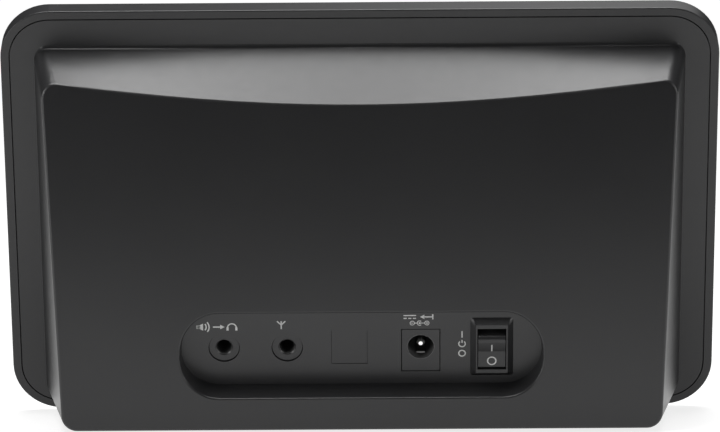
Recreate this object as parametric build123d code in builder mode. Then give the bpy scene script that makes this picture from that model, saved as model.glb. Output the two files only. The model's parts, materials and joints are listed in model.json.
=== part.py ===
from build123d import *
from math import atan2, cos, degrees, radians, sin, sqrt, tan
import os

os.makedirs("parts", exist_ok=True)

# A tabletop radio: a thin front frame leaning back on a wedge-shaped rear cover.
# Lengths are in millimetres. Most pieces are drawn in the panel's own frame, seen from behind:
# u runs to the viewer's right, v up the panel from its bottom edge, w back from the rim.

# Panel
panel_width = 172.2
panel_height = 107.0
panel_thickness = 5.0
panel_corner = 12.0
front_edge_round = 0.5
rear_edge_round = 0.3
rim_wall = 2.01
seam_gap = 0.28
front_wall = 2.0
flange_thickness = 2.0
flange_seat = 3.0

# Rear housing
side_margin = 8.1
top_margin = 9.45
side_draft = 9.2
ledge_depth = 14.0
ledge_drop = 2.7
dish_drop = 5.75
housing_depth = 38.0
rear_foot_line = 13.75
underside_start = 3.15
cover_wall = 2.2
block_margin = 11.0
cove_rise = 0.6
cove_step = 0.12
top_corner_round = 3.4
low_corner_round = 3.8
edge_round = 0.8

# Feet
foot_proud = 0.8
foot_bite = 1.5
rear_foot_length = 26.0
rear_foot_width = 8.0
rear_foot_setback = 7.5
foot_side_inset = 34.1
front_pad_length = 24.0
front_pad_width = 2.6
front_pad_setback = 1.9
front_pad_bite = 1.9
foot_clearance = 0.1

# Port bay and what stands in it
port_line = 31.65
bay_width = 86.3
bay_height = 19.1
bay_drop = 0.25
bay_end_flat = 0.4
bay_draft = 5.0
bay_sink = 0.65
bay_mouth_round = 0.5
audio_jack_place = -32.9
aerial_jack_place = -17.8
blank_place = -2.9
dc_jack_place = 14.2
switch_place = 31.2
port_clearance = 0.15
port_recess = 0.4

# Jacks
jack_nose = 7.2
jack_bore = 3.6
jack_bore_depth = 14.0
jack_mouth = 4.2
jack_body_width = 8.0
jack_body_height = 10.8
jack_body_length = 15.0
dc_width = 9.0
dc_height = 11.0
dc_axis_height = 6.4
dc_length = 14.2
dc_hole = 6.3
dc_hole_depth = 10.5
dc_pin = 2.0
dc_pin_recess = 1.8
dc_recess = 0.05
dc_gap = 0.2
dc_contact_width = 2.0
dc_contact_thickness = 0.5
dc_contact_recess = 2.8
dc_contact_rise = 0.65
dc_contact_slant = 15.0
blank_width = 8.5
blank_height = 8.8
blank_thickness = 1.6
blank_lip = 1.0
blank_gap = 0.07
blank_lift = 0.05
blank_recess = 0.05

# Rocker switch
bezel_side_wall = 0.35
bezel_end_wall = 0.95
bezel_proud = 1.5
bezel_draft = 42.0
switch_side_wall = 0.3
switch_end_wall = 1.1
switch_body_length = 12.0
rocker_width = 6.5
rocker_reach = 4.48
rocker_rise = 4.95
rocker_gap = 0.2
rocker_half_swing = 10.0
rocker_keel = 2.5
rocker_top_round = 1.3
rocker_low_round = 0.4
rocker_sink = 0.26
pivot_pin = 1.6
pivot_pin_length = 0.7
pivot_clearance = 0.06
terminal_width = 3.2
terminal_thickness = 0.6
terminal_length = 7.0
terminal_spacing = 7.0

# Display
window_height = 49.0
window_thickness = 1.2
window_corner = 2.5
window_lip = 3.0
window_gap = 0.1
window_grille_gap = 3.4
window_top_margin = 16.0
display_overlap = 2.0
display_thickness = 3.0
bracket_thickness = 0.8
ribbon_width = 20.0
ribbon_thickness = 0.3
ribbon_foot = 3.0

# Speakers and grilles
speaker_size = 36.0
speaker_corner = 4.0
speaker_drop = 10.0
speaker_side_gap = 0.6
speaker_post_gap = 0.2
speaker_hole_inset = 2.7
gasket_thickness = 1.0
basket_plate = 1.0
basket_wall = 0.8
basket_depth = 10.0
basket_back_radius = 9.0
cone_radius = 15.0
cone_lip = 1.0
cone_wall = 0.6
cone_depth = 6.0
dust_cap_radius = 5.0
magnet_radius = 12.0
magnet_length = 7.5
grille_width = 34.0
grille_top_margin = 7.5
grille_bottom_margin = 29.0
grille_corner = 5.0
grille_thickness = 1.0
grille_gap = 0.1
slot_length = 26.0
slot_width = 1.7
slot_pitch = 3.4
slot_margin = 5.0

# Keys
key_names = ["standby", "menu", "back", "previous", "select", "next", "volume_down", "volume_up"]
key_pitch = 15.0
key_line = 18.0
key_width = 11.0
key_height = 6.0
key_corner = 1.6
key_proud = 1.0
key_gap = 0.25
key_flange = 0.8
key_flange_thickness = 0.8
key_flange_gap = 0.1
key_stem = 3.0
key_stem_length = 0.9
key_travel = 0.6
key_spare = 0.1
tact_size = 4.6
tact_height = 2.8
tact_plunger = 2.4
tact_plunger_height = 0.8

# Boards, posts and screws
board_thickness = 1.6
key_board_thickness = 1.2
key_board_height = 12.0
key_post_gap = 1.0
post_diameter = 4.2
post_base = 5.8
post_gap = 0.2
post_root = 0.4
board_edge = 3.0
main_board_depth = 8.0
main_board_ledge_gap = 8.0
main_board_port_gap = 3.8
port_board_edge = 0.6
port_board_margin = 9.5
port_board_gap = 1.0
screw_diameter = 2.0
screw_head = 3.6
screw_head_height = 1.2
screw_length = 5.0
screw_clearance = 0.1
screw_end_gap = 0.5

# Parts on the main board: width, height and depth, and the space to the board's top or bottom edge
radio_module_size = (14.0, 18.0, 2.6)
tuner_can_size = (16.0, 14.0, 3.6)
processor_size = (12.0, 12.0, 1.6)
chip_top_margin = 4.0
chip_post_gap = 1.2
amplifier_size = (7.0, 7.0, 1.4)
amplifier_gap = 2.0
low_row_rise = 11.0
capacitor_diameter = 6.3
capacitor_height = 8.0
capacitor_pitch = 8.5
capacitor_row_start = -15.0
capacitor_count = 4
connector_size = (6.5, 4.0, 2.5)
connector_pitch = 10.5
connector_margin = 1.0
connector_count = 4

# The panel leans so that its bottom edge and the housing's rear edge share one floor.
lean = atan2(rear_foot_line, housing_depth)
housing_half = panel_width / 2 - side_margin
ledge_line = panel_height - top_margin
side_edge_line = ledge_line - ledge_drop
rear_slope = (housing_depth - ledge_depth) / (side_edge_line - rear_foot_line)
cove_top = ledge_line + cove_rise
draft_slope = tan(radians(side_draft))
underside_slope = (rear_foot_line - underside_start) / housing_depth
front_reach = (front_edge_round - panel_thickness) * cos(lean) + front_edge_round * (sin(lean) - 1)
rear_reach = ledge_depth * cos(lean) + side_edge_line * sin(lean)
back = Plane(
    origin=(0, -(front_reach + rear_reach) / 2, foot_proud),
    x_dir=(-1, 0, 0),
    z_dir=(0, cos(lean), -sin(lean)),
)
# Sketches on side use (w, v), sketches on deck use (u, w).
side = Plane(origin=back.origin, x_dir=back.z_dir, z_dir=(1, 0, 0))


def behind(depth):
    return back.offset(depth)


def side_at(place):
    return side.offset(-place)


def deck(height):
    return Plane(origin=back.from_local_coords((0, height, 0)), x_dir=back.x_dir, z_dir=-back.y_dir)


def spot(shape):
    # Place of a point, or of a shape's middle, in the panel's frame
    place = shape if isinstance(shape, Vector) else shape.center(CenterOf.BOUNDING_BOX)
    return back.to_local_coords(place)


def rear_face_depth(height):
    return ledge_depth + (side_edge_line - height) * rear_slope


def underside_height(depth):
    return underside_start + depth * underside_slope


def turned(place, height, profile):
    # A piece of revolution about an axis square to the panel, from (w, radius) points.
    with BuildPart() as piece:
        with BuildSketch(side_at(place)):
            with BuildLine():
                Polyline([(depth, height + radius) for depth, radius in profile], close=True)
            make_face()
        revolve(axis=Axis(back.from_local_coords((place, height, 0)), back.z_dir))
    return piece.part


def save(part, name):
    part.label = name
    export_step(part, "parts/" + name + ".step")


# Depths, places and sizes that several pieces share
front_face = -panel_thickness
wall_back = front_face + front_wall
flange_front = -flange_thickness
bay_corner = bay_height / 2 - bay_end_flat
bay_line = port_line - bay_drop
bay_floor = rear_face_depth(bay_line + bay_height / 2) - bay_sink
bay_inside = bay_floor - cover_wall
nose_face = bay_floor - port_recess
dc_face = bay_floor - dc_recess
dc_back = dc_face - dc_length
screw_hole = screw_diameter + 2 * screw_clearance

# The rocker's pocket sets the size of the switch around it.
swing = radians(rocker_half_swing)
pocket_half = rocker_reach * cos(swing) + rocker_rise * sin(swing) + rocker_gap
pocket_width = rocker_width + 2 * rocker_gap
pivot_reach = pocket_width / 2 + pivot_pin_length + port_clearance
bezel_slope = bezel_proud * tan(radians(bezel_draft))
bezel_width = pocket_width + 2 * (bezel_side_wall + bezel_slope)
bezel_height = 2 * (pocket_half + bezel_end_wall + bezel_slope)
switch_body_width = 2 * (pivot_reach + switch_side_wall)
switch_body_height = 2 * (pocket_half + switch_end_wall)

# The speakers stand against the housing's sides, and the display fills the space between them.
cavity_half = housing_half - cover_wall / cos(radians(side_draft))
speaker_place = cavity_half - speaker_size / 2 - speaker_side_gap
speaker_hole_offset = speaker_size / 2 - speaker_hole_inset
window_width = 2 * (speaker_place - grille_width / 2 - window_grille_gap)
main_post_place = speaker_place - speaker_size / 2 - speaker_post_gap - post_base / 2
display_width = 2 * (main_post_place - post_base / 2 - post_gap)
display_height = window_height - 2 * window_lip + 2 * display_overlap
display_back = wall_back + display_thickness
display_line = panel_height - window_top_margin - window_height / 2
speaker_line = display_line - speaker_drop
grille_height = panel_height - grille_top_margin - grille_bottom_margin
grille_line = grille_bottom_margin + grille_height / 2
slot_rows = int((grille_height - 2 * slot_margin) / slot_pitch) + 1

# Keys, boards and their posts
key_row = [(index - (len(key_names) - 1) / 2) * key_pitch for index in range(len(key_names))]
stem_end = wall_back + key_flange_gap + key_flange_thickness + key_stem_length
tact_base = stem_end + key_travel + key_spare + tact_plunger_height + tact_height
key_post_place = key_row[-1] + key_width / 2 + key_flange + post_diameter / 2 + key_post_gap
key_posts = [(-key_post_place, key_line), (key_post_place, key_line)]
port_board_top = port_line - dc_axis_height
main_board_foot = port_board_top + dc_height + main_board_port_gap
main_board_top = ledge_line - main_board_ledge_gap
main_board_line = (main_board_foot + main_board_top) / 2
main_board_height = main_board_top - main_board_foot
main_board_width = 2 * (main_post_place + board_edge)
main_post_spacing = main_board_height - 2 * board_edge
board_back = main_board_depth + board_thickness
main_posts = [
    (place, main_board_line + up)
    for place in (-main_post_place, main_post_place)
    for up in (-main_post_spacing / 2, main_post_spacing / 2)
]
port_board_left = audio_jack_place - port_board_margin
port_board_right = switch_place - switch_body_width / 2 - port_board_gap
port_post_edge = post_diameter / 2 + port_board_edge
port_post_depth = dc_back - port_board_gap - screw_head / 2
port_board_front = port_post_depth - port_post_edge
port_posts = [
    (port_board_left + port_post_edge, port_post_depth),
    (port_board_right - port_post_edge, port_post_depth),
]


# Solid wedge of the rear housing, each face moved inwards by the skin
def housing_block(skin):
    reach = block_margin
    ledge_end = 2 * ledge_depth
    top = panel_height + reach
    rear_centre = side_edge_line - dish_drop
    centre_slope = (ledge_line - rear_centre) / rear_face_depth(rear_centre)
    side_slope = ledge_drop / ledge_depth
    edge_half = housing_half - ledge_depth * draft_slope
    dish_half = panel_width / 2
    outer_slope = centre_slope + (side_slope - centre_slope) * (dish_half / edge_half) ** 2
    with BuildPart() as block:
        with BuildSketch(side):
            with BuildLine():
                Polyline(
                    (-reach, underside_height(-reach)),
                    (housing_depth, rear_foot_line),
                    (rear_face_depth(top), top),
                    (-reach, top),
                    close=True,
                )
            make_face()
            if skin:
                offset(amount=-skin, kind=Kind.INTERSECTION)
        extrude(amount=panel_width, both=True)
        with BuildSketch(deck(0)):
            with BuildLine():
                near = housing_half + reach * draft_slope
                tip = housing_half - 2 * housing_depth * draft_slope
                Polyline(
                    (-near, -reach), (near, -reach), (tip, 2 * housing_depth), (-tip, 2 * housing_depth),
                    close=True,
                )
            make_face()
            if skin:
                offset(amount=-skin, kind=Kind.INTERSECTION)
        extrude(amount=2 * panel_height, both=True, mode=Mode.INTERSECT)
        # The ledge is cut through three profiles, steepest in the middle, which gives its dish.
        for place, slope in ((-dish_half, outer_slope), (0, centre_slope), (dish_half, outer_slope)):
            start = ledge_line - skin * sqrt(1 + slope**2)
            low = start - ledge_end * slope
            with BuildSketch(side_at(place)):
                with BuildLine():
                    if skin:
                        edge = -2 * reach
                        Polyline((edge, 2 * top), (edge, start), (0, start), (ledge_end, low))
                    else:
                        # A cove leads from the flange down to the ledge.
                        edge = cove_step
                        cove_run = cove_rise / sqrt(1 + slope**2)
                        cove_foot = (edge + cove_run, start - cove_run * slope)
                        Line((edge, 2 * top), (edge, cove_top))
                        TangentArc((edge, cove_top), cove_foot, tangent=(0, -1))
                        Line(cove_foot, (ledge_end, low))
                    Polyline((ledge_end, low), (ledge_end, 2 * top), (edge, 2 * top))
                make_face()
        loft(mode=Mode.SUBTRACT)
    return block.part


# Rear housing with its rounded edges
with BuildPart() as housing:
    add(housing_block(0))
    top_edges = [
        edge for edge in housing.edges()
        if abs(spot(edge).X) > housing_half / 2
        and spot(edge).Y > side_edge_line - edge_round and 0 < spot(edge).Z < ledge_depth
    ]
    fillet(top_edges, top_corner_round)
    low_edges = [
        edge for edge in housing.edges()
        if abs(spot(edge).X) > housing_half / 2
        and spot(edge).Y < rear_foot_line and 0 < spot(edge).Z < housing_depth - edge_round
    ]
    fillet(low_edges, low_corner_round)
    rear_face = housing.faces().sort_by(Axis(back.origin, back.z_dir))[-1]
    fillet(rear_face.edges(), edge_round)
    split(bisect_by=behind(flange_front), keep=Keep.TOP)
    split(bisect_by=deck(cove_top), keep=Keep.TOP)

# Space inside the rear cover, less the port bay's walls and the port board's posts
with BuildPart() as cover_space:
    add(housing_block(cover_wall))
    with BuildSketch(behind(bay_inside)):
        with Locations((0, bay_line)):
            RectangleRounded(bay_width + 2 * cover_wall, bay_height + 2 * cover_wall, bay_corner + cover_wall)
    extrude(amount=housing_depth, mode=Mode.SUBTRACT)
    with BuildSketch(deck(port_board_top - board_thickness)):
        with Locations(port_posts):
            Circle(post_diameter / 2 + post_root)
    extrude(amount=panel_height, mode=Mode.SUBTRACT)

rear_edge = back.from_local_coords((0, rear_foot_line, housing_depth))
rear_foot_y = rear_edge.Y - rear_foot_setback - rear_foot_width / 2
rear_foot_top = foot_proud + foot_bite
foot_place = panel_width / 2 - foot_side_inset

with BuildPart() as rear_cover:
    add(housing.part)
    # Flange that lies in the front frame's seat
    flange_inset = rim_wall + seam_gap
    with BuildSketch(behind(0)):
        with Locations((0, panel_height / 2)):
            RectangleRounded(
                panel_width - 2 * flange_inset, panel_height - 2 * flange_inset, panel_corner - flange_inset
            )
    extrude(amount=-flange_thickness)
    add(cover_space.part, mode=Mode.SUBTRACT)
    # Port bay and its openings
    with BuildSketch(behind(bay_floor)):
        with Locations((0, bay_line)):
            RectangleRounded(bay_width, bay_height, bay_corner)
    extrude(amount=housing_depth / 2, taper=-bay_draft, mode=Mode.SUBTRACT)
    rear_face = rear_cover.faces().filter_by(GeomType.PLANE).sort_by(SortBy.AREA)[-1]
    fillet(rear_face.inner_wires()[0].edges(), bay_mouth_round)
    with BuildSketch(behind(bay_floor + cover_wall)):
        with Locations((audio_jack_place, port_line), (aerial_jack_place, port_line)):
            Circle(jack_nose / 2 + port_clearance)
        with Locations((blank_place, port_line)):
            Rectangle(blank_width + 2 * blank_gap, blank_height + 2 * blank_gap)
        with Locations((dc_jack_place, port_board_top + dc_height / 2)):
            Rectangle(dc_width + 2 * dc_gap, dc_height + 2 * dc_gap)
        with Locations((switch_place, port_line)):
            Rectangle(switch_body_width + 2 * port_clearance, switch_body_height + 2 * port_clearance)
    extrude(amount=-3 * cover_wall, mode=Mode.SUBTRACT)
    # Screw holes in the port board's posts
    with BuildSketch(deck(port_board_top)):
        with Locations(port_posts):
            Circle(screw_hole / 2)
    extrude(amount=screw_length + screw_end_gap, mode=Mode.SUBTRACT)
    # Pockets for the rear feet
    with BuildSketch(Plane.XY):
        with Locations((-foot_place, rear_foot_y), (foot_place, rear_foot_y)):
            SlotOverall(rear_foot_length + 2 * foot_clearance, rear_foot_width + 2 * foot_clearance)
    extrude(amount=rear_foot_top, mode=Mode.SUBTRACT)
save(rear_cover.part, "rear_cover")

for name, place in (("rear_foot_left", -foot_place), ("rear_foot_right", foot_place)):
    with BuildPart() as rear_foot:
        with BuildSketch(Plane.XY):
            with Locations((place, rear_foot_y)):
                SlotOverall(rear_foot_length, rear_foot_width)
        extrude(amount=rear_foot_top)
    save(rear_foot.part, name)

# Front frame: shell, seat for the flange, openings and posts
front_pad_edge = back.from_local_coords((0, 0, -front_pad_setback))
front_pad_y = front_pad_edge.Y - front_pad_width / 2
front_pad_top = foot_proud + front_pad_bite

with BuildPart() as front_frame:
    with BuildSketch(behind(0)):
        with Locations((0, panel_height / 2)):
            RectangleRounded(panel_width, panel_height, panel_corner)
    extrude(amount=-panel_thickness)
    fillet(front_frame.faces().sort_by(Axis(back.origin, back.z_dir))[0].edges(), front_edge_round)
    fillet(front_frame.faces().sort_by(Axis(back.origin, back.z_dir))[-1].edges(), rear_edge_round)
    for inset, depth in ((rim_wall, flange_front), (rim_wall + flange_seat, wall_back)):
        with BuildSketch(behind(0)):
            with Locations((0, panel_height / 2)):
                RectangleRounded(panel_width - 2 * inset, panel_height - 2 * inset, panel_corner - inset)
        extrude(amount=depth, mode=Mode.SUBTRACT)
    # Posts for the main board, with a shoulder for the display bracket
    with BuildSketch(behind(display_back)):
        with Locations(main_posts):
            Circle(post_base / 2)
    extrude(until=Until.NEXT, dir=-back.z_dir)
    with BuildSketch(behind(main_board_depth)):
        with Locations(main_posts):
            Circle(post_diameter / 2)
    extrude(amount=display_back - main_board_depth)
    # Posts for the key board
    with BuildSketch(behind(tact_base)):
        with Locations(key_posts):
            Circle(post_diameter / 2)
    extrude(amount=wall_back - tact_base)
    # Display opening with the rebate for its window
    with BuildSketch(behind(front_face)):
        with Locations((0, display_line)):
            RectangleRounded(window_width, window_height, window_corner)
    extrude(amount=window_thickness, mode=Mode.SUBTRACT)
    with BuildSketch(behind(front_face)):
        with Locations((0, display_line)):
            Rectangle(window_width - 2 * window_lip, window_height - 2 * window_lip)
        with Locations([(place, speaker_line) for place in (-speaker_place, speaker_place)]):
            Circle(cone_radius - cone_lip)
        with Locations([(place, key_line) for place in key_row]):
            RectangleRounded(key_width + 2 * key_gap, key_height + 2 * key_gap, key_corner + key_gap)
    extrude(amount=front_wall, mode=Mode.SUBTRACT)
    # Rebates for the speaker grilles
    with BuildSketch(behind(front_face)):
        with Locations((-speaker_place, grille_line), (speaker_place, grille_line)):
            RectangleRounded(grille_width, grille_height, grille_corner)
    extrude(amount=grille_thickness, mode=Mode.SUBTRACT)
    # Screw holes in the posts and behind the speakers
    with BuildSketch(behind(main_board_depth)):
        with Locations(main_posts):
            Circle(screw_hole / 2)
    extrude(amount=-screw_length, mode=Mode.SUBTRACT)
    with BuildSketch(behind(tact_base)):
        with Locations(key_posts):
            Circle(screw_hole / 2)
    extrude(amount=-screw_length, mode=Mode.SUBTRACT)
    # Pockets for the front pads
    with BuildSketch(Plane.XY):
        with Locations((-foot_place, front_pad_y), (foot_place, front_pad_y)):
            Rectangle(front_pad_length + 2 * foot_clearance, front_pad_width + 2 * foot_clearance)
    extrude(amount=front_pad_top, mode=Mode.SUBTRACT)
save(front_frame.part, "front_frame")

for name, place in (("front_pad_left", -foot_place), ("front_pad_right", foot_place)):
    with BuildPart() as front_pad:
        with BuildSketch(Plane.XY):
            with Locations((place, front_pad_y)):
                Rectangle(front_pad_length, front_pad_width)
        extrude(amount=front_pad_top)
    save(front_pad.part, name)

# Display
with BuildPart() as display_window:
    with BuildSketch(behind(front_face)):
        with Locations((0, display_line)):
            RectangleRounded(
                window_width - 2 * window_gap, window_height - 2 * window_gap, window_corner - window_gap
            )
    extrude(amount=window_thickness)
save(display_window.part, "display_window")

with BuildPart() as display_module:
    with BuildSketch(behind(wall_back)):
        with Locations((0, display_line)):
            Rectangle(display_width, display_height)
    extrude(amount=display_thickness)
save(display_module.part, "display_module")

with BuildPart() as display_bracket:
    with BuildSketch(behind(display_back)):
        with Locations((0, main_board_line)):
            Rectangle(2 * main_post_place + post_base, main_post_spacing + post_base)
            Rectangle(
                2 * main_post_place - post_base, main_post_spacing - post_base, mode=Mode.SUBTRACT
            )
        with Locations(main_posts):
            Circle(post_diameter / 2 + screw_clearance, mode=Mode.SUBTRACT)
    extrude(amount=bracket_thickness)
save(display_bracket.part, "display_bracket")

# Flat ribbon from the display's back to the main board's front
ribbon_low = main_board_line - main_post_spacing / 2 + post_base / 2 + ribbon_thickness
with BuildPart() as display_ribbon:
    with BuildSketch(side):
        with BuildLine():
            Polyline(
                (display_back + ribbon_thickness / 2, ribbon_low + 2 * ribbon_foot),
                (display_back + ribbon_thickness / 2, ribbon_low + ribbon_foot),
                (main_board_depth - ribbon_thickness / 2, ribbon_low + ribbon_foot),
                (main_board_depth - ribbon_thickness / 2, ribbon_low),
            )
        trace(line_width=ribbon_thickness)
    extrude(amount=ribbon_width / 2, both=True)
save(display_ribbon.part, "display_ribbon")

# Speakers and grilles
speaker_front = wall_back + gasket_thickness
basket_front = speaker_front + basket_plate
basket_back = basket_front + basket_depth
for hand, place in (("left", speaker_place), ("right", -speaker_place)):
    corners = [
        (place + across, speaker_line + up)
        for across in (-speaker_hole_offset, speaker_hole_offset)
        for up in (-speaker_hole_offset, speaker_hole_offset)
    ]
    with BuildPart() as gasket:
        with BuildSketch(behind(wall_back)):
            with Locations((place, speaker_line)):
                RectangleRounded(speaker_size, speaker_size, speaker_corner)
                Circle(cone_radius, mode=Mode.SUBTRACT)
            with Locations(corners):
                Circle(screw_hole / 2, mode=Mode.SUBTRACT)
        extrude(amount=gasket_thickness)
    save(gasket.part, "speaker_gasket_" + hand)

    with BuildPart() as basket:
        with BuildSketch(behind(speaker_front)):
            with Locations((place, speaker_line)):
                RectangleRounded(speaker_size, speaker_size, speaker_corner)
                Circle(cone_radius - cone_lip, mode=Mode.SUBTRACT)
            with Locations(corners):
                Circle(screw_hole / 2, mode=Mode.SUBTRACT)
        extrude(amount=basket_plate)
        add(turned(place, speaker_line, [
            (basket_front, cone_radius),
            (basket_front, cone_radius + basket_wall),
            (basket_back, basket_back_radius + basket_wall),
            (basket_back, dust_cap_radius),
            (basket_back - basket_wall, dust_cap_radius),
            (basket_back - basket_wall, basket_back_radius),
        ]))
    save(basket.part, "speaker_basket_" + hand)

    cone_back = basket_front + cone_depth
    cone = turned(place, speaker_line, [
        (basket_front, cone_radius - cone_lip),
        (basket_front, cone_radius - cone_wall),
        (basket_front + cone_wall, cone_radius - cone_wall),
        (cone_back + cone_wall, dust_cap_radius),
        (cone_back - cone_lip + cone_wall, 0),
        (cone_back - cone_lip, 0),
        (cone_back, dust_cap_radius),
        (basket_front + cone_wall, cone_radius - 2 * cone_lip),
        (basket_front, cone_radius - 2 * cone_lip),
    ])
    save(cone, "speaker_cone_" + hand)

    magnet = turned(place, speaker_line, [
        (basket_back, 0),
        (basket_back, magnet_radius),
        (basket_back + magnet_length, magnet_radius),
        (basket_back + magnet_length, 0),
    ])
    save(magnet, "speaker_magnet_" + hand)

    with BuildPart() as grille:
        with BuildSketch(behind(front_face)):
            with Locations((place, grille_line)):
                RectangleRounded(
                    grille_width - 2 * grille_gap, grille_height - 2 * grille_gap, grille_corner - grille_gap
                )
                with GridLocations(slot_pitch, slot_pitch, 1, slot_rows):
                    SlotOverall(slot_length, slot_width, mode=Mode.SUBTRACT)
        extrude(amount=grille_thickness)
    save(grille.part, "speaker_grille_" + hand)

# Keys, from the front's left to its right
for name, place in zip(key_names, [-place for place in key_row]):
    with BuildPart() as key:
        with BuildSketch(behind(front_face - key_proud)):
            with Locations((place, key_line)):
                RectangleRounded(key_width, key_height, key_corner)
        extrude(amount=key_proud + front_wall + key_flange_gap)
        fillet(key.faces().sort_by(Axis(back.origin, back.z_dir))[0].edges(), key_proud / 2)
        with BuildSketch(behind(wall_back + key_flange_gap)):
            with Locations((place, key_line)):
                RectangleRounded(key_width + 2 * key_flange, key_height + 2 * key_flange, key_corner)
        extrude(amount=key_flange_thickness)
        with BuildSketch(behind(wall_back + key_flange_gap + key_flange_thickness)):
            with Locations((place, key_line)):
                Circle(key_stem / 2)
        extrude(amount=key_stem_length)
    save(key.part, "key_" + name)

with BuildPart() as key_board:
    with BuildSketch(behind(tact_base)):
        with Locations((0, key_line)):
            Rectangle(2 * (key_post_place + board_edge), key_board_height)
        with Locations(key_posts):
            Circle(screw_hole / 2, mode=Mode.SUBTRACT)
    extrude(amount=key_board_thickness)
save(key_board.part, "key_board")

with BuildPart() as key_switches:
    with BuildSketch(behind(tact_base)):
        with Locations([(place, key_line) for place in key_row]):
            RectangleRounded(tact_size, tact_size, tact_size / 8)
    extrude(amount=-tact_height)
    with BuildSketch(behind(tact_base - tact_height)):
        with Locations([(place, key_line) for place in key_row]):
            Circle(tact_plunger / 2)
    extrude(amount=-tact_plunger_height)
save(key_switches.part, "key_switches")

# Jacks: a body on the port board, a round nose in the bay floor and the plug's bore
for name, place in (("audio_jack", audio_jack_place), ("aerial_jack", aerial_jack_place)):
    with BuildPart() as jack:
        with BuildSketch(behind(bay_inside - port_clearance)):
            with Locations((place, port_board_top)):
                Rectangle(jack_body_width, jack_body_height, align=(Align.CENTER, Align.MIN))
        extrude(amount=-jack_body_length)
        with BuildSketch(behind(bay_inside - port_clearance)):
            with Locations((place, port_line)):
                Circle(jack_nose / 2)
        extrude(amount=nose_face - bay_inside + port_clearance)
        add(turned(place, port_line, [
            (nose_face, 0),
            (nose_face, jack_mouth / 2),
            (nose_face - (jack_mouth - jack_bore) / 2, jack_bore / 2),
            (nose_face - jack_bore_depth, jack_bore / 2),
            (nose_face - jack_bore_depth, 0),
        ]), mode=Mode.SUBTRACT)
    save(jack.part, name)

with BuildPart() as dc_jack_body:
    with BuildSketch(behind(dc_face)):
        with Locations((dc_jack_place, port_board_top)):
            Rectangle(dc_width, dc_height, align=(Align.CENTER, Align.MIN))
    extrude(amount=-dc_length)
    with BuildSketch(behind(dc_face)):
        with Locations((dc_jack_place, port_line)):
            Circle(dc_hole / 2)
    extrude(amount=-dc_hole_depth, mode=Mode.SUBTRACT)
    # Channel for the spring contact, below the hole
    with BuildSketch(behind(dc_face - dc_hole_depth)):
        with Locations((dc_jack_place, port_line - dc_hole / 2)):
            Rectangle(dc_contact_width + 2 * port_clearance, 4 * dc_contact_thickness)
    extrude(amount=dc_hole_depth - dc_contact_recess + port_clearance, mode=Mode.SUBTRACT)
save(dc_jack_body.part, "dc_jack_body")

dc_pin_tip = dc_face - dc_pin_recess
dc_pin_root = dc_face - dc_hole_depth
dc_jack_pin = turned(dc_jack_place, port_line, [
    (dc_pin_root, 0),
    (dc_pin_root, dc_pin / 2),
    (dc_pin_tip - dc_pin / 4, dc_pin / 2),
    (dc_pin_tip, dc_pin / 4),
    (dc_pin_tip, 0),
])
save(dc_jack_pin, "dc_jack_pin")

# The spring contact ends in a slanted face that looks out of the hole.
contact_tip = dc_face - dc_contact_recess
contact_low = port_line - dc_hole / 2 - 3 * dc_contact_thickness / 2 + dc_contact_rise
contact_high = contact_low + dc_contact_thickness
with BuildPart() as dc_jack_contact:
    with BuildSketch(side_at(dc_jack_place)):
        with BuildLine():
            Polyline(
                (dc_pin_root, contact_low),
                (contact_tip, contact_low),
                (contact_tip - dc_contact_thickness * tan(radians(dc_contact_slant)), contact_high),
                (dc_pin_root, contact_high),
                close=True,
            )
        make_face()
    extrude(amount=dc_contact_width / 2, both=True)
save(dc_jack_contact.part, "dc_jack_contact")

with BuildPart() as port_blank:
    with BuildSketch(behind(bay_floor - blank_recess)):
        with Locations((blank_place, port_line + blank_lift)):
            Rectangle(blank_width, blank_height)
    extrude(amount=bay_inside - bay_floor + blank_recess)
    with BuildSketch(behind(bay_inside)):
        with Locations((blank_place, port_line + blank_lift)):
            Rectangle(blank_width + 2 * blank_lip, blank_height + 2 * blank_lip)
    extrude(amount=-blank_thickness)
save(port_blank.part, "port_blank")

# Rocker switch
bezel_face = bay_floor + bezel_proud
valley = rocker_rise - rocker_reach * tan(swing)
pivot_depth = bezel_face - rocker_sink - valley * cos(swing)
rocker_well = pivot_depth - rocker_keel * cos(swing) - rocker_reach * sin(swing) - rocker_gap

with BuildPart() as switch_housing:
    with BuildSketch(behind(bay_floor)):
        with Locations((switch_place, port_line)):
            RectangleRounded(bezel_width, bezel_height, bezel_proud / 2)
    extrude(amount=bezel_proud, taper=bezel_draft)
    with BuildSketch(behind(bay_floor)):
        with Locations((switch_place, port_line)):
            Rectangle(switch_body_width, switch_body_height)
    extrude(amount=-switch_body_length)
    with BuildSketch(behind(bezel_face)):
        with Locations((switch_place, port_line)):
            Rectangle(pocket_width, 2 * pocket_half)
    extrude(amount=rocker_well - bezel_face, mode=Mode.SUBTRACT)
    with BuildSketch(side_at(switch_place)):
        with Locations((pivot_depth, port_line)):
            Circle(pivot_pin / 2 + pivot_clearance)
    extrude(amount=pivot_reach, both=True, mode=Mode.SUBTRACT)
save(switch_housing.part, "switch_housing")

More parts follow.
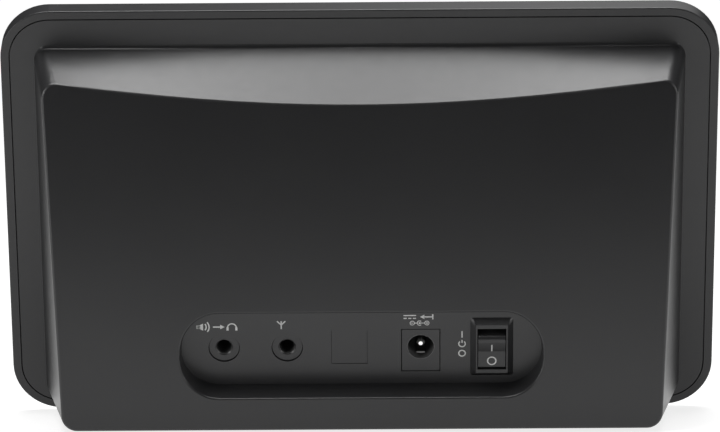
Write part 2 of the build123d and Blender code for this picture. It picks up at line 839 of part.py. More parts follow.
# The rocker is drawn level and stands turned by half its swing, with its lower end pressed in.
rocker_pivot = back.from_local_coords((switch_place, port_line, pivot_depth))
out_axis = back.z_dir * cos(swing) - back.y_dir * sin(swing)
rocker_plane = Plane(origin=rocker_pivot, x_dir=out_axis, z_dir=(1, 0, 0))
with BuildPart() as switch_rocker:
    with BuildSketch(rocker_plane):
        with BuildLine():
            Polyline(
                (rocker_rise, rocker_reach),
                (valley, 0),
                (rocker_rise, -rocker_reach),
                (-rocker_keel, -rocker_reach),
                (-rocker_keel, rocker_reach),
                close=True,
            )
        make_face()
    extrude(amount=rocker_width / 2, both=True)
    cross_edges = switch_rocker.edges().filter_by(Axis.X).sort_by(Axis(rocker_pivot, out_axis))
    low_tip, top_tip = ShapeList(cross_edges[-2:]).sort_by(Axis(rocker_pivot, back.y_dir))
    fillet(top_tip, rocker_top_round)
    fillet(low_tip, rocker_low_round)
    with BuildSketch(rocker_plane):
        Circle(pivot_pin / 2)
    extrude(amount=pocket_width / 2 + pivot_pin_length, both=True)
save(switch_rocker.part, "switch_rocker")

with BuildPart() as switch_terminals:
    with BuildSketch(behind(bay_floor - switch_body_length)):
        with Locations((switch_place, port_line)):
            with GridLocations(terminal_spacing, terminal_spacing, 1, 2):
                Rectangle(terminal_width, terminal_thickness)
    extrude(amount=-terminal_length)
save(switch_terminals.part, "switch_terminals")

# Boards
with BuildPart() as port_board:
    with BuildSketch(deck(port_board_top)):
        with Locations((port_board_left, port_board_front)):
            Rectangle(
                port_board_right - port_board_left, bay_inside - 2 * port_clearance - port_board_front,
                align=(Align.MIN, Align.MIN),
            )
        with Locations(port_posts):
            Circle(screw_hole / 2, mode=Mode.SUBTRACT)
    extrude(amount=board_thickness)
save(port_board.part, "port_board")

with BuildPart() as main_board:
    with BuildSketch(behind(main_board_depth)):
        with Locations((0, main_board_line)):
            Rectangle(main_board_width, main_board_height)
        with Locations(main_posts):
            Circle(screw_hole / 2, mode=Mode.SUBTRACT)
    extrude(amount=board_thickness)
save(main_board.part, "main_board")

chip_reach = main_post_place - screw_head / 2 - chip_post_gap
chip_top = main_board_top - chip_top_margin
low_row_line = main_board_foot + low_row_rise
capacitor_row = [capacitor_row_start + index * capacitor_pitch for index in range(capacitor_count)]
amplifier_place = capacitor_row[-1] + capacitor_diameter / 2 + amplifier_gap + amplifier_size[0] / 2
radio_module_place = radio_module_size[0] / 2 - chip_reach
tuner_can_place = chip_reach - tuner_can_size[0] / 2
for name, size, across, top in (
    ("radio_module", radio_module_size, radio_module_place, chip_top),
    ("tuner_can", tuner_can_size, tuner_can_place, chip_top),
    ("processor", processor_size, 0, chip_top),
    ("amplifier", amplifier_size, amplifier_place, low_row_line + amplifier_size[1] / 2),
):
    width, height, depth = size
    with BuildPart() as chip:
        with BuildSketch(behind(board_back)):
            with Locations((across, top - height / 2)):
                Rectangle(width, height)
        extrude(amount=depth)
        chamfer(chip.faces().sort_by(Axis(back.origin, back.z_dir))[-1].edges(), depth / 8)
    save(chip.part, name)

with BuildPart() as capacitors:
    with BuildSketch(behind(board_back)):
        with Locations([(place, low_row_line) for place in capacitor_row]):
            Circle(capacitor_diameter / 2)
    extrude(amount=capacitor_height)
save(capacitors.part, "capacitors")

with BuildPart() as board_connectors:
    connector_width, connector_height, connector_depth = connector_size
    with BuildSketch(behind(board_back)):
        with Locations((0, main_board_foot + connector_margin + connector_height / 2)):
            with GridLocations(connector_pitch, connector_pitch, connector_count, 1):
                Rectangle(connector_width, connector_height)
    extrude(amount=connector_depth)
save(board_connectors.part, "board_connectors")

# Screws
speaker_corners = [
    (place + across, speaker_line + up)
    for place in (-speaker_place, speaker_place)
    for across in (-speaker_hole_offset, speaker_hole_offset)
    for up in (-speaker_hole_offset, speaker_hole_offset)
]
with BuildPart() as speaker_screws:
    with BuildSketch(behind(basket_front)):
        with Locations(speaker_corners):
            Circle(screw_head / 2)
    extrude(amount=screw_head_height)
    with BuildSketch(behind(basket_front)):
        with Locations(speaker_corners):
            Circle(screw_diameter / 2)
    extrude(amount=wall_back - basket_front)
save(speaker_screws.part, "speaker_screws")

with BuildPart() as board_screws:
    for depth, places, thickness in (
        (board_back, main_posts, board_thickness),
        (tact_base + key_board_thickness, key_posts, key_board_thickness),
    ):
        with BuildSketch(behind(depth)):
            with Locations(places):
                Circle(screw_head / 2)
        extrude(amount=screw_head_height)
        with BuildSketch(behind(depth)):
            with Locations(places):
                Circle(screw_diameter / 2)
        extrude(amount=screw_end_gap - screw_length - thickness)
    with BuildSketch(deck(port_board_top)):
        with Locations(port_posts):
            Circle(screw_head / 2)
    extrude(amount=-screw_head_height)
    with BuildSketch(deck(port_board_top)):
        with Locations(port_posts):
            Circle(screw_diameter / 2)
    extrude(amount=screw_length)
save(board_screws.part, "board_screws")

print("lean", round(degrees(lean), 2), "bay floor", round(bay_floor, 2))
print("rocker pivot", rocker_pivot)
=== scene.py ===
import json
import math
import bmesh
import bpy
from mathutils import Matrix, Vector
from mathutils.bvhtree import BVHTree

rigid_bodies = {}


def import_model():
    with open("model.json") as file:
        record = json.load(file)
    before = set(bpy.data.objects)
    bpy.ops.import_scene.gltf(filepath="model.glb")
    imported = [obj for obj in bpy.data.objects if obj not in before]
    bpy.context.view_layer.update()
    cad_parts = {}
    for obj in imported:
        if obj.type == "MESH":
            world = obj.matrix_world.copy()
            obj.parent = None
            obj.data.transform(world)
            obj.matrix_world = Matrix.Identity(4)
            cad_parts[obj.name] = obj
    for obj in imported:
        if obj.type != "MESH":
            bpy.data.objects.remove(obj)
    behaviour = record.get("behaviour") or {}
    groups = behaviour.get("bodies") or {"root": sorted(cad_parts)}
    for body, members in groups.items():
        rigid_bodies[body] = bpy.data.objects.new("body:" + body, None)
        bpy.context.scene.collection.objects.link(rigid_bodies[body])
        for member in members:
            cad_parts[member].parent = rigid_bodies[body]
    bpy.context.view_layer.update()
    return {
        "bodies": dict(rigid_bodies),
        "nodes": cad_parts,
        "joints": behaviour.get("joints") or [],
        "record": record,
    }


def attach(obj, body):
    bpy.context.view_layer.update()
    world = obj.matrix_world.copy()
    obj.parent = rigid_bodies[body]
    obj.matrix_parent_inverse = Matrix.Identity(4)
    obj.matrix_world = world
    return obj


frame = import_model()
nodes = frame["nodes"]
mm = 0.001
print("frame loaded:", len(nodes), "nodes")

# The panel's own axes, seen from behind: right, up the panel and straight out of its back
pressAxis = next(joint["axis"] for joint in frame["joints"] if joint["name"] == "key_menu_press")
outAxis = Vector(pressAxis).normalized()
rightAxis = Vector((-1, 0, 0))
upAxis = outAxis.cross(rightAxis)
panelMatrix = Matrix((rightAxis, upAxis, outAxis)).transposed()


def panelSpan(name):  # lowest and highest corner of a CAD node along the panel's axes
    points = [panelMatrix.transposed() @ vertex.co for vertex in nodes[name].data.vertices]
    low = Vector([min(point[axis] for point in points) for axis in range(3)])
    high = Vector([max(point[axis] for point in points) for axis in range(3)])
    return low, high


def panelMiddle(name):
    low, high = panelSpan(name)
    return (low + high) / 2


# Materials
def startMaterial(name):
    material = bpy.data.materials.new(name)
    material.use_nodes = True
    tree = material.node_tree
    return material, tree, tree.nodes["Principled BSDF"]


def addNode(tree, kind, values=None, **settings):
    node = tree.nodes.new(kind)
    for key, value in settings.items():
        setattr(node, key, value)
    for key, value in (values or {}).items():
        node.inputs[key].default_value = value
    return node


# The noise's useful range, its detail and the scale of each layer against the grain's own
noiseSetup = dict(
    low=0.3, high=0.7, detail=2.0, streakDetail=4.0, bumpDetail=3.0,
    plasticGlossDivide=6, metalGlossTimes=3, metalBumpTimes=4,
)


def objectNoise(tree, scale, detail=noiseSetup["detail"]):
    place = addNode(tree, "ShaderNodeTexCoord")
    noise = addNode(tree, "ShaderNodeTexNoise", {"Scale": scale, "Detail": detail})
    tree.links.new(place.outputs["Object"], noise.inputs["Vector"])
    return noise.outputs["Fac"]


def spread(tree, source, low, high):
    ramp = addNode(tree, "ShaderNodeMapRange", {
        "From Min": noiseSetup["low"], "From Max": noiseSetup["high"], "To Min": low, "To Max": high,
    })
    tree.links.new(source, ramp.inputs["Value"])
    return ramp.outputs["Result"]


def colourBetween(tree, source, first, second):
    mix = addNode(tree, "ShaderNodeMix", data_type="RGBA")
    mix.inputs["A"].default_value = (*first, 1)
    mix.inputs["B"].default_value = (*second, 1)
    tree.links.new(source, mix.inputs["Factor"])
    return mix.outputs["Result"]


def grainBump(tree, shader, scale, strength, distance):
    bump = addNode(tree, "ShaderNodeBump", {"Strength": strength, "Distance": distance})
    tree.links.new(objectNoise(tree, scale, noiseSetup["bumpDetail"]), bump.inputs["Height"])
    tree.links.new(bump.outputs["Normal"], shader.inputs["Normal"])


def mouldedPlastic(name, look):
    material, tree, shader = startMaterial(name)
    patches = spread(tree, objectNoise(tree, look["patchScale"]), 0.0, 1.0)
    tree.links.new(colourBetween(tree, patches, look["dark"], look["light"]), shader.inputs["Base Color"])
    glossScale = look["grainScale"] / noiseSetup["plasticGlossDivide"]
    dull = spread(tree, objectNoise(tree, glossScale), *look["roughness"])
    tree.links.new(dull, shader.inputs["Roughness"])
    shader.inputs["Specular IOR Level"].default_value = look["specular"]
    grainBump(tree, shader, look["grainScale"], look["grain"], look["grainDepth"])
    return material


def metalFinish(name, look):
    material, tree, shader = startMaterial(name)
    shader.inputs["Metallic"].default_value = 1.0
    streaks = spread(tree, objectNoise(tree, look["grainScale"], noiseSetup["streakDetail"]), 0.0, 1.0)
    tree.links.new(colourBetween(tree, streaks, look["dark"], look["light"]), shader.inputs["Base Color"])
    glossScale = look["grainScale"] * noiseSetup["metalGlossTimes"]
    dull = spread(tree, objectNoise(tree, glossScale), *look["roughness"])
    tree.links.new(dull, shader.inputs["Roughness"])
    bumpScale = look["grainScale"] * noiseSetup["metalBumpTimes"]
    grainBump(tree, shader, bumpScale, look["grain"], look["grainDepth"])
    return material


plasticLooks = {
    "case_plastic": dict(
        dark=(0.017, 0.017, 0.018), light=(0.020, 0.020, 0.021), patchScale=30, grainScale=3200,
        grain=0.12, grainDepth=0.00004, roughness=(0.33, 0.36), specular=0.5,
    ),
    "grille_plastic": dict(
        dark=(0.015, 0.015, 0.016), light=(0.018, 0.018, 0.019), patchScale=40, grainScale=3600,
        grain=0.25, grainDepth=0.00004, roughness=(0.36, 0.42), specular=0.5,
    ),
    "key_plastic": dict(
        dark=(0.017, 0.017, 0.018), light=(0.021, 0.021, 0.022), patchScale=60, grainScale=4200,
        grain=0.15, grainDepth=0.00003, roughness=(0.30, 0.36), specular=0.5,
    ),
    "window_gloss": dict(
        dark=(0.006, 0.006, 0.007), light=(0.008, 0.008, 0.009), patchScale=20, grainScale=400,
        grain=0.02, grainDepth=0.00002, roughness=(0.05, 0.08), specular=0.5,
    ),
    "display_glass": dict(
        dark=(0.02, 0.022, 0.026), light=(0.024, 0.026, 0.03), patchScale=20, grainScale=400,
        grain=0.02, grainDepth=0.00002, roughness=(0.15, 0.2), specular=0.5,
    ),
    "ribbon_film": dict(
        dark=(0.40, 0.19, 0.05), light=(0.48, 0.24, 0.07), patchScale=80, grainScale=900,
        grain=0.05, grainDepth=0.00003, roughness=(0.3, 0.4), specular=0.5,
    ),
    "board_laminate": dict(
        dark=(0.02, 0.12, 0.05), light=(0.035, 0.17, 0.08), patchScale=300, grainScale=1500,
        grain=0.1, grainDepth=0.00003, roughness=(0.35, 0.45), specular=0.5,
    ),
    "chip_plastic": dict(
        dark=(0.022, 0.022, 0.022), light=(0.03, 0.03, 0.03), patchScale=90, grainScale=3000,
        grain=0.2, grainDepth=0.00003, roughness=(0.5, 0.6), specular=0.4,
    ),
    "connector_plastic": dict(
        dark=(0.68, 0.64, 0.56), light=(0.74, 0.71, 0.64), patchScale=120, grainScale=1800,
        grain=0.1, grainDepth=0.00003, roughness=(0.4, 0.5), specular=0.5,
    ),
    "jack_plastic": dict(
        dark=(0.018, 0.018, 0.019), light=(0.022, 0.022, 0.023), patchScale=90, grainScale=3400,
        grain=0.2, grainDepth=0.00003, roughness=(0.32, 0.38), specular=0.5,
    ),
    "switch_plastic": dict(
        dark=(0.018, 0.018, 0.019), light=(0.022, 0.022, 0.023), patchScale=90, grainScale=3400,
        grain=0.2, grainDepth=0.00003, roughness=(0.32, 0.38), specular=0.5,
    ),
    "rocker_plastic": dict(
        dark=(0.019, 0.019, 0.020), light=(0.023, 0.023, 0.024), patchScale=90, grainScale=3800,
        grain=0.15, grainDepth=0.00003, roughness=(0.32, 0.38), specular=0.5,
    ),
    "foot_rubber": dict(
        dark=(0.018, 0.018, 0.018), light=(0.026, 0.026, 0.026), patchScale=150, grainScale=2500,
        grain=0.4, grainDepth=0.00005, roughness=(0.7, 0.85), specular=0.3,
    ),
    "gasket_foam": dict(
        dark=(0.03, 0.03, 0.03), light=(0.05, 0.05, 0.05), patchScale=900, grainScale=1800,
        grain=0.6, grainDepth=0.0001, roughness=(0.85, 0.95), specular=0.2,
    ),
    "cone_paper": dict(
        dark=(0.035, 0.035, 0.036), light=(0.06, 0.06, 0.062), patchScale=700, grainScale=1500,
        grain=0.5, grainDepth=0.00008, roughness=(0.7, 0.85), specular=0.3,
    ),
    "printed_white": dict(
        dark=(0.78, 0.78, 0.77), light=(0.84, 0.84, 0.83), patchScale=900, grainScale=3000,
        grain=0.1, grainDepth=0.00001, roughness=(0.45, 0.55), specular=0.4,
    ),
}
metalLooks = {
    "sheet_steel": dict(
        dark=(0.48, 0.48, 0.49), light=(0.58, 0.58, 0.59), grainScale=300,
        grain=0.1, grainDepth=0.00002, roughness=(0.3, 0.42),
    ),
    "shield_steel": dict(
        dark=(0.58, 0.58, 0.59), light=(0.66, 0.66, 0.67), grainScale=200,
        grain=0.05, grainDepth=0.00002, roughness=(0.22, 0.3),
    ),
    "capacitor_aluminium": dict(
        dark=(0.66, 0.66, 0.68), light=(0.74, 0.74, 0.76), grainScale=250,
        grain=0.05, grainDepth=0.00002, roughness=(0.25, 0.35),
    ),
    "contact_metal": dict(
        dark=(0.80, 0.80, 0.79), light=(0.88, 0.88, 0.87), grainScale=400,
        grain=0.03, grainDepth=0.00001, roughness=(0.12, 0.2),
    ),
    "magnet_ferrite": dict(
        dark=(0.07, 0.07, 0.075), light=(0.11, 0.11, 0.115), grainScale=350,
        grain=0.2, grainDepth=0.00004, roughness=(0.5, 0.65),
    ),
}
finishes = {slotName: mouldedPlastic(slotName, look) for slotName, look in plasticLooks.items()}
finishes.update({slotName: metalFinish(slotName, look) for slotName, look in metalLooks.items()})
for entry in frame["record"]["subparts"]:
    piece = nodes[entry["node"]]
    piece.data.materials.clear()
    piece.data.materials.append(finishes[entry["material_slot"]])
print("finishes:", len(finishes))

# Painted light: the sockets' bores are painted a paler grey inside than the bodies round them, standing in
# for fill light in their shaded hollows
socketLine = panelMiddle("switch_housing").y
boreLightPaint = {
    "audio_jack": dict(radius=1.95, inside=(0.07, 0.07, 0.07)),
    "aerial_jack": dict(radius=1.95, inside=(0.07, 0.07, 0.07)),
    "dc_jack_body": dict(radius=3.25, inside=(0.11, 0.11, 0.11)),
}


# Paints the fill light: within the given radius of the socket's axis the base colour becomes the paler
# painted-light grey
def paintBoreLight(node, look):
    material = mouldedPlastic(node + "_finish", plasticLooks["jack_plastic"])
    tree = material.node_tree
    axisPoint = panelMatrix @ Vector((panelMiddle(node).x, socketLine, 0))
    place = addNode(tree, "ShaderNodeTexCoord")
    away = addNode(tree, "ShaderNodeVectorMath", {1: axisPoint}, operation="SUBTRACT")
    across = addNode(tree, "ShaderNodeVectorMath", {1: outAxis}, operation="CROSS_PRODUCT")
    reach = addNode(tree, "ShaderNodeVectorMath", operation="LENGTH")
    inside = addNode(tree, "ShaderNodeMath", {1: look["radius"] * mm}, operation="LESS_THAN")
    paint = addNode(tree, "ShaderNodeMix", data_type="RGBA")
    paint.inputs["B"].default_value = (*look["inside"], 1)
    colour = tree.nodes["Principled BSDF"].inputs["Base Color"]
    tree.links.new(colour.links[0].from_socket, paint.inputs["A"])
    tree.links.new(place.outputs["Object"], away.inputs[0])
    tree.links.new(away.outputs["Vector"], across.inputs[0])
    tree.links.new(across.outputs["Vector"], reach.inputs[0])
    tree.links.new(reach.outputs["Value"], inside.inputs[0])
    tree.links.new(inside.outputs["Value"], paint.inputs["Factor"])
    tree.links.new(paint.outputs["Result"], colour)
    nodes[node].data.materials[0] = material


for node, look in boreLightPaint.items():
    paintBoreLight(node, look)
print("bores:", len(boreLightPaint))

# The supply socket's spring is duller than its pin
springLook = {**metalLooks["contact_metal"], "dark": (0.24, 0.24, 0.24), "light": (0.30, 0.30, 0.30),
              "roughness": (0.46, 0.54)}
nodes["dc_jack_contact"].data.materials[0] = metalFinish("dc_jack_contact_finish", springLook)

# Printed signs are drawn flat in millimetres, laid on a CAD face and given a film's thickness
ringSetup = dict(fewest=6, degrees=12)  # a ring's fewest steps and the degrees that one step spans


def strokeBar(shape, middle, length, width, angle=0.0):
    place = Matrix.Translation((*middle, 0)) @ Matrix.Rotation(math.radians(angle), 4, "Z")
    size = Matrix.Diagonal((length, width, 1, 1))
    bmesh.ops.create_grid(shape, x_segments=4, y_segments=1, size=0.5, matrix=place @ size)


def strokeRing(shape, middle, radius, width, start=0.0, sweep=360.0):
    centre = Vector((*middle, 0))
    along = Vector((math.cos(math.radians(start)), math.sin(math.radians(start)), 0))
    ends = [shape.verts.new(centre + along * (radius + side * width / 2)) for side in (-1, 1)]
    edge = shape.edges.new(ends)
    steps = max(ringSetup["fewest"], int(sweep / ringSetup["degrees"]))
    bmesh.ops.spin(shape, geom=ends + [edge], cent=centre, axis=(0, 0, 1), angle=math.radians(sweep),
                   steps=steps, use_merge=sweep >= 360)


def filledDisc(shape, middle, radius, corners=24, angle=0.0):
    place = Matrix.Translation((*middle, 0)) @ Matrix.Rotation(math.radians(angle), 4, "Z")
    bmesh.ops.create_circle(shape, cap_ends=True, radius=radius, segments=corners, matrix=place)


# Millimetres above and below the face that carries the print, and how far out its search starts
filmSetup = dict(proud=0.02, sunk=0.03, searchFrom=200)


def layOn(name, shape, node, centre, body, front=False):
    mesh = nodes[node].data
    corners = [vertex.co for vertex in mesh.vertices]
    tree = BVHTree.FromPolygons(corners, [face.vertices for face in mesh.polygons])
    across, out = (-rightAxis, -outAxis) if front else (rightAxis, outAxis)
    middle = rightAxis * centre[0] + upAxis * centre[1]
    for vertex in shape.verts:
        spot = middle + (across * vertex.co.x + upAxis * vertex.co.y) * mm
        hit = tree.ray_cast(spot + out * filmSetup["searchFrom"] * mm, -out)[0]
        vertex.co = hit + out * filmSetup["proud"] * mm
    bmesh.ops.recalc_face_normals(shape, faces=shape.faces)
    for face in shape.faces:
        if face.normal.dot(out) < 0:
            face.normal_flip()
    film = bmesh.ops.extrude_face_region(shape, geom=shape.faces[:], use_keep_orig=True)
    lower = [item for item in film["geom"] if isinstance(item, bmesh.types.BMVert)]
    bmesh.ops.translate(shape, verts=lower, vec=-out * (filmSetup["proud"] + filmSetup["sunk"]) * mm)
    bmesh.ops.recalc_face_normals(shape, faces=shape.faces)
    data = bpy.data.meshes.new(name)
    shape.to_mesh(data)
    shape.free()
    data.materials.append(finishes["printed_white"])
    piece = bpy.data.objects.new(name, data)
    bpy.context.scene.collection.objects.link(piece)
    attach(piece, body)


# Signs round the sockets
def pointer(shape, middle, radius, right=True):  # a solid triangle that points right or left
    filledDisc(shape, middle, radius, corners=3, angle=-90 if right else 90)


def besideSocket(node, offset):
    return panelMiddle(node).x + offset[0] * mm, socketLine + offset[1] * mm


audioSign = dict(
    offset=(-1.75, 5.65), stroke=0.32, box=0.85, boxPlace=(-4.4, 0), horn=1.1, hornPlace=(-3.75, 0),
    waves=(1.3, 2.0), waveSweep=80, arrow=1.9, arrowPlace=(0.1, 0), tip=0.7, tipPlace=(1.25, 0),
    band=1.05, bandPlace=(3.7, -0.2), cup=0.9, cupHeight=-0.5, cupStrokes=1.7,
)


def makeAudioSign():
    look, shape = audioSign, bmesh.new()
    stroke, sweep = look["stroke"], look["waveSweep"]
    strokeBar(shape, look["boxPlace"], look["box"], look["box"])
    pointer(shape, look["hornPlace"], look["horn"], right=False)
    for radius in look["waves"]:
        strokeRing(shape, look["hornPlace"], radius, stroke, start=-sweep / 2, sweep=sweep)
    strokeBar(shape, look["arrowPlace"], look["arrow"], stroke)
    pointer(shape, look["tipPlace"], look["tip"])
    strokeRing(shape, look["bandPlace"], look["band"], stroke, sweep=180)
    for side in (-1, 1):
        place = (look["bandPlace"][0] + side * look["band"], look["cupHeight"])
        strokeBar(shape, place, look["cup"], stroke * look["cupStrokes"], angle=90)
    layOn("audioSign", shape, "rear_cover", besideSocket("audio_jack", look["offset"]), "case")


aerialSign = dict(offset=(-1.35, 6.05), stroke=0.32, height=2.1, arm=1.4, armPlace=(0.5, 0.55), armLean=45)


def makeAerialSign():
    look, shape = aerialSign, bmesh.new()
    strokeBar(shape, (0, 0), look["height"], look["stroke"], angle=90)
    for side in (-1, 1):
        place = (side * look["armPlace"][0], look["armPlace"][1])
        strokeBar(shape, place, look["arm"], look["stroke"], angle=90 - side * look["armLean"])
    layOn("aerialSign", shape, "rear_cover", besideSocket("aerial_jack", look["offset"]), "case")


supplySign = dict(
    offset=(-0.4, 8.05), stroke=0.3, length=3.0, linePlace=(-2.2, 0.38), dash=0.76,
    tip=0.7, tipPlace=(0.95, 0), arrow=2.0, arrowPlace=(2.1, 0), end=1.4, endPlace=(3.3, 0),
)


def makeSupplySign():
    look, shape = supplySign, bmesh.new()
    stroke, (middle, height) = look["stroke"], look["linePlace"]
    strokeBar(shape, (middle, height), look["length"], stroke)
    for step in (-1, 0, 1):
        place = (middle + step * (look["length"] - look["dash"]) / 2, -height)
        strokeBar(shape, place, look["dash"], stroke)
    pointer(shape, look["tipPlace"], look["tip"], right=False)
    strokeBar(shape, look["arrowPlace"], look["arrow"], stroke)
    strokeBar(shape, look["endPlace"], look["end"], stroke, angle=90)
    layOn("supplySign", shape, "rear_cover", besideSocket("dc_jack_body", look["offset"]), "case")


polaritySign = dict(
    offset=(-0.25, 6.4), stroke=0.2, ring=0.52, reach=1.75, cup=0.58, cupGap=100, dot=0.26, dotCorners=16,
    rightLink=0.95, rightPlace=(0.7, 0), leftLink=0.5, leftPlace=(-0.9, 0),
)


def makePolaritySign():
    look, shape = polaritySign, bmesh.new()
    stroke, gap = look["stroke"], look["cupGap"]
    for side in (-1, 1):
        strokeRing(shape, (side * look["reach"], 0), look["ring"], stroke)
        strokeBar(shape, (side * look["reach"], 0), look["ring"], stroke)
    strokeBar(shape, (look["reach"], 0), look["ring"], stroke, angle=90)
    strokeRing(shape, (0, 0), look["cup"], stroke, start=gap / 2, sweep=360 - gap)
    filledDisc(shape, (0, 0), look["dot"], corners=look["dotCorners"])
    strokeBar(shape, look["rightPlace"], look["rightLink"], stroke)
    strokeBar(shape, look["leftPlace"], look["leftLink"], stroke)
    layOn("polaritySign", shape, "rear_cover", besideSocket("dc_jack_body", look["offset"]), "case")


powerSign = dict(offset=(-7.1, 0.75), stroke=0.32, ring=0.78, gap=80, notch=0.85, bar=1.75, pitch=2.55)


def makePowerSign():
    look, shape = powerSign, bmesh.new()
    stroke, ring, gap = look["stroke"], look["ring"], look["gap"]
    strokeBar(shape, (0, look["pitch"]), look["bar"], stroke, angle=90)
    strokeRing(shape, (0, 0), ring, stroke, start=90 + gap / 2, sweep=360 - gap)
    strokeBar(shape, (0, ring * look["notch"]), ring, stroke, angle=90)
    strokeRing(shape, (0, -look["pitch"]), ring, stroke)
    layOn("powerSign", shape, "rear_cover", besideSocket("switch_housing", look["offset"]), "case")


# On the rocker: a bar on the upper half and a ring on the lower half
rockerSign = dict(bar=2.1, barMiddle=0.42, ring=1.0, ringMiddle=-3.25, stroke=0.32)


def makeRockerSign():
    look, shape = rockerSign, bmesh.new()
    strokeBar(shape, (0, look["barMiddle"]), look["bar"], look["stroke"], angle=90)
    strokeRing(shape, (0, look["ringMiddle"]), look["ring"], look["stroke"])
    layOn("rockerSign", shape, "switch_rocker", besideSocket("switch_rocker", (0, 0)), "rocker")


makeAudioSign()
makeAerialSign()
makeSupplySign()
makePolaritySign()
makePowerSign()
makeRockerSign()
print("signs on the back ready")

# One sign on each front key, drawn as seen from the front: lengths in multiples of reach, gap in degrees
keySigns = dict(
    stroke=0.34, reach=1.25,
    standby=dict(gap=70, bar=1.1, barHeight=0.75),
    menu=dict(row=2.2, pitch=0.75),
    back=dict(tip=0.75, tipPlace=-0.7, tail=1.5, tailPlace=0.6),
    skip=dict(tip=1.0, tipPlace=-0.1, bar=1.7, barPlace=1.15),
    select=dict(ring=1.0, dot=0.4),
    volume=dict(bar=2.0),
)


def keyShape(kind):
    shape, stroke, reach = bmesh.new(), keySigns["stroke"], keySigns["reach"]
    if kind == "standby":
        look = keySigns["standby"]
        strokeRing(shape, (0, 0), reach, stroke, start=90 + look["gap"] / 2, sweep=360 - look["gap"])
        strokeBar(shape, (0, reach * look["barHeight"]), reach * look["bar"], stroke, angle=90)
    elif kind == "menu":
        look = keySigns["menu"]
        for row in (-1, 0, 1):
            strokeBar(shape, (0, row * reach * look["pitch"]), reach * look["row"], stroke)
    elif kind == "back":
        look = keySigns["back"]
        pointer(shape, (reach * look["tipPlace"], 0), reach * look["tip"], right=False)
        strokeBar(shape, (reach * look["tailPlace"], 0), reach * look["tail"], stroke)
    elif kind in ("previous", "next"):
        look, side = keySigns["skip"], 1 if kind == "next" else -1
        pointer(shape, (side * reach * look["tipPlace"], 0), reach * look["tip"], right=side > 0)
        strokeBar(shape, (side * reach * look["barPlace"], 0), reach * look["bar"], stroke, angle=90)
    elif kind == "select":
        look = keySigns["select"]
        strokeRing(shape, (0, 0), reach * look["ring"], stroke)
        filledDisc(shape, (0, 0), reach * look["dot"])
    else:
        length = reach * keySigns["volume"]["bar"]
        strokeBar(shape, (0, 0), length, stroke)
        if kind == "volume_up":
            strokeBar(shape, (0, 0), length, stroke, angle=90)
    return shape


for name in sorted(nodes):
    body = name + "_body"
    if name.startswith("key_") and body in frame["bodies"]:
        kind = name[len("key_"):]
        key = panelMiddle(name)
        layOn(kind.replace("_", "") + "KeySign", keyShape(kind), name, (key.x, key.y), body, front=True)
print("signs on the keys ready")

# Camera: the photograph's view from behind, a long lens a little above the table
cameraSetup = dict(
    focalPixels=5091.0, frameWidth=720, sensorWidth=36.0, distance=1.237,
    tilt=26.0, yaw=-0.35, roll=0.35, slideRight=0.00026, slideUp=0.00083,
    aimHeight=0.05325, aimDepth=0.002, clipEnd=50,
)
aimLevel = panelSpan("front_frame")[0].y + cameraSetup["aimHeight"]
flangeBack = panelSpan("rear_cover")[0].z + cameraSetup["aimDepth"]
aimStart = panelMatrix @ Vector((0, aimLevel, flangeBack))
tilt, yaw, roll = (math.radians(cameraSetup[key]) for key in ("tilt", "yaw", "roll"))
backAlong = Vector((0, math.sin(tilt), math.cos(tilt)))
sideways = Vector((1, 0, 0))
towardCamera = panelMatrix @ (backAlong * math.cos(yaw) - sideways * math.sin(yaw))
levelRight = panelMatrix @ (backAlong * math.sin(yaw) + sideways * math.cos(yaw))
levelUp = panelMatrix @ Vector((0, math.cos(tilt), -math.sin(tilt)))
cameraRight = levelRight * math.cos(roll) - levelUp * math.sin(roll)
cameraUp = levelRight * math.sin(roll) + levelUp * math.cos(roll)
cameraData = bpy.data.cameras.new("photoCamera")
cameraData.sensor_width = cameraSetup["sensorWidth"]
cameraData.lens = cameraSetup["focalPixels"] * cameraSetup["sensorWidth"] / cameraSetup["frameWidth"]
cameraData.clip_end = cameraSetup["clipEnd"]
camera = bpy.data.objects.new("photoCamera", cameraData)
bpy.context.scene.collection.objects.link(camera)
cameraPlace = aimStart + towardCamera * cameraSetup["distance"]
cameraPlace -= cameraRight * cameraSetup["slideRight"] + cameraUp * cameraSetup["slideUp"]
turn = Matrix((cameraRight, cameraUp, towardCamera)).transposed()
camera.matrix_world = Matrix.Translation(cameraPlace) @ turn.to_4x4()
bpy.context.scene.camera = camera
print("camera placed", [round(value, 4) for value in cameraPlace])

# Studio: a pale table top, a soft box overhead, a weaker one over the far right and one low at each side
tableSetup = dict(
    near=0.19, far=-3.0, side=1.6, drop=0.0001,
    colour=0.36, roughness=0.9, white=0.80, whiteFade=(0.16, 0.42),
)
skyColour = 0.04
lampAim = (0, 0, 0.05)
lamps = {
    "overheadBox": dict(place=(0.03, 0.03, 0.62), size=(0.60, 0.36), power=5.3, turned=75.0),
    "rightBox": dict(place=(-0.20, -0.42, 0.52), size=(0.44, 0.40), power=0.48),
    "edgeBoxLeft": dict(place=(0.36, 0.24, 0.12), size=(0.16, 0.20), power=0.5),
    "edgeBoxRight": dict(place=(-0.36, 0.24, 0.12), size=(0.16, 0.20), power=0.34),
}


def seenDirectly(tree):  # 1 for camera, glossy and clear rays, 0 where the surface lights the object
    rays = addNode(tree, "ShaderNodeLightPath")
    seen = rays.outputs["Is Camera Ray"]
    for name in ("Is Glossy Ray", "Is Transmission Ray"):
        joined = addNode(tree, "ShaderNodeMath", operation="MAXIMUM")
        tree.links.new(seen, joined.inputs[0])
        tree.links.new(rays.outputs[name], joined.inputs[1])
        seen = joined.outputs["Value"]
    return seen


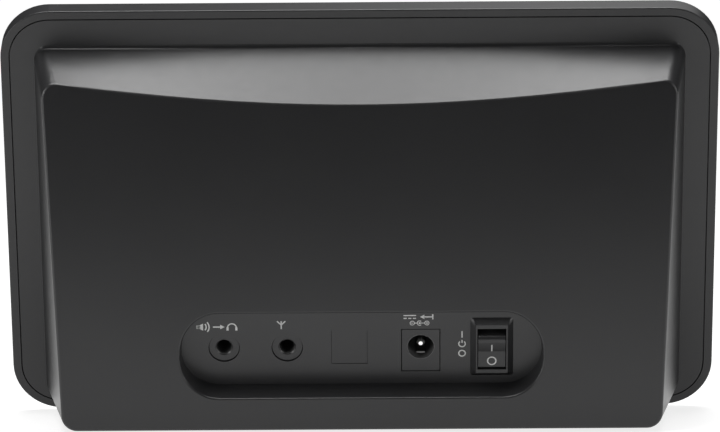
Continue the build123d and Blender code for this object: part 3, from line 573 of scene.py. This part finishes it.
def whiteWithDistance(tree):  # the table's own white, fuller away from the object so that the shadow stays
    place = addNode(tree, "ShaderNodeTexCoord")
    reach = addNode(tree, "ShaderNodeVectorMath", operation="LENGTH")
    near, far = tableSetup["whiteFade"]
    white = addNode(tree, "ShaderNodeMapRange", {
        "From Min": near, "From Max": far, "To Min": tableSetup["white"], "To Max": 1.0,
    })
    shown = addNode(tree, "ShaderNodeMath", operation="MULTIPLY")
    tree.links.new(place.outputs["Object"], reach.inputs[0])
    tree.links.new(reach.outputs["Value"], white.inputs["Value"])
    tree.links.new(white.outputs["Result"], shown.inputs[0])
    tree.links.new(seenDirectly(tree), shown.inputs[1])
    return shown.outputs["Value"]


def makeTable():
    mesh = bpy.data.meshes.new("studioTable")
    shape = bmesh.new()
    length = tableSetup["near"] - tableSetup["far"]
    place = Matrix.Translation((0, tableSetup["near"] - length / 2, -tableSetup["drop"]))
    size = Matrix.Diagonal((2 * tableSetup["side"], length, 1, 1))
    bmesh.ops.create_grid(shape, x_segments=1, y_segments=1, size=0.5, matrix=place @ size)
    shape.to_mesh(mesh)
    shape.free()
    table = bpy.data.objects.new("studioTable", mesh)
    bpy.context.scene.collection.objects.link(table)
    material, tree, shader = startMaterial("studioTable")
    shader.inputs["Base Color"].default_value = (tableSetup["colour"],) * 3 + (1,)
    shader.inputs["Roughness"].default_value = tableSetup["roughness"]
    shader.inputs["Specular IOR Level"].default_value = 0.0
    shader.inputs["Emission Color"].default_value = (1, 1, 1, 1)
    tree.links.new(whiteWithDistance(tree), shader.inputs["Emission Strength"])
    mesh.materials.append(material)


def softBox(name, place, size, power, turned=0.0):
    data = bpy.data.lights.new(name, "AREA")
    data.shape = "RECTANGLE"
    data.size, data.size_y = size
    data.energy = power
    lamp = bpy.data.objects.new(name, data)
    facing = (Vector(lampAim) - Vector(place)).to_track_quat("-Z", "Y").to_matrix().to_4x4()
    about = Matrix.Rotation(math.radians(turned), 4, "Z")
    lamp.matrix_world = Matrix.Translation(place) @ about @ facing
    bpy.context.scene.collection.objects.link(lamp)


def makeSky():
    world = bpy.data.worlds.new("studioSky")
    world.use_nodes = True
    tree = world.node_tree
    rays = addNode(tree, "ShaderNodeLightPath")
    level = addNode(tree, "ShaderNodeMapRange", {"To Min": skyColour, "To Max": 1.0})
    tree.links.new(rays.outputs["Is Camera Ray"], level.inputs["Value"])
    background = tree.nodes["Background"]
    tree.links.new(level.outputs["Result"], background.inputs["Strength"])
    background.inputs["Color"].default_value = (1, 1, 1, 1)
    bpy.context.scene.world = world


makeTable()
for name, values in lamps.items():
    softBox(name, **values)
makeSky()
bpy.context.scene.view_settings.view_transform = "Standard"
print("studio ready")
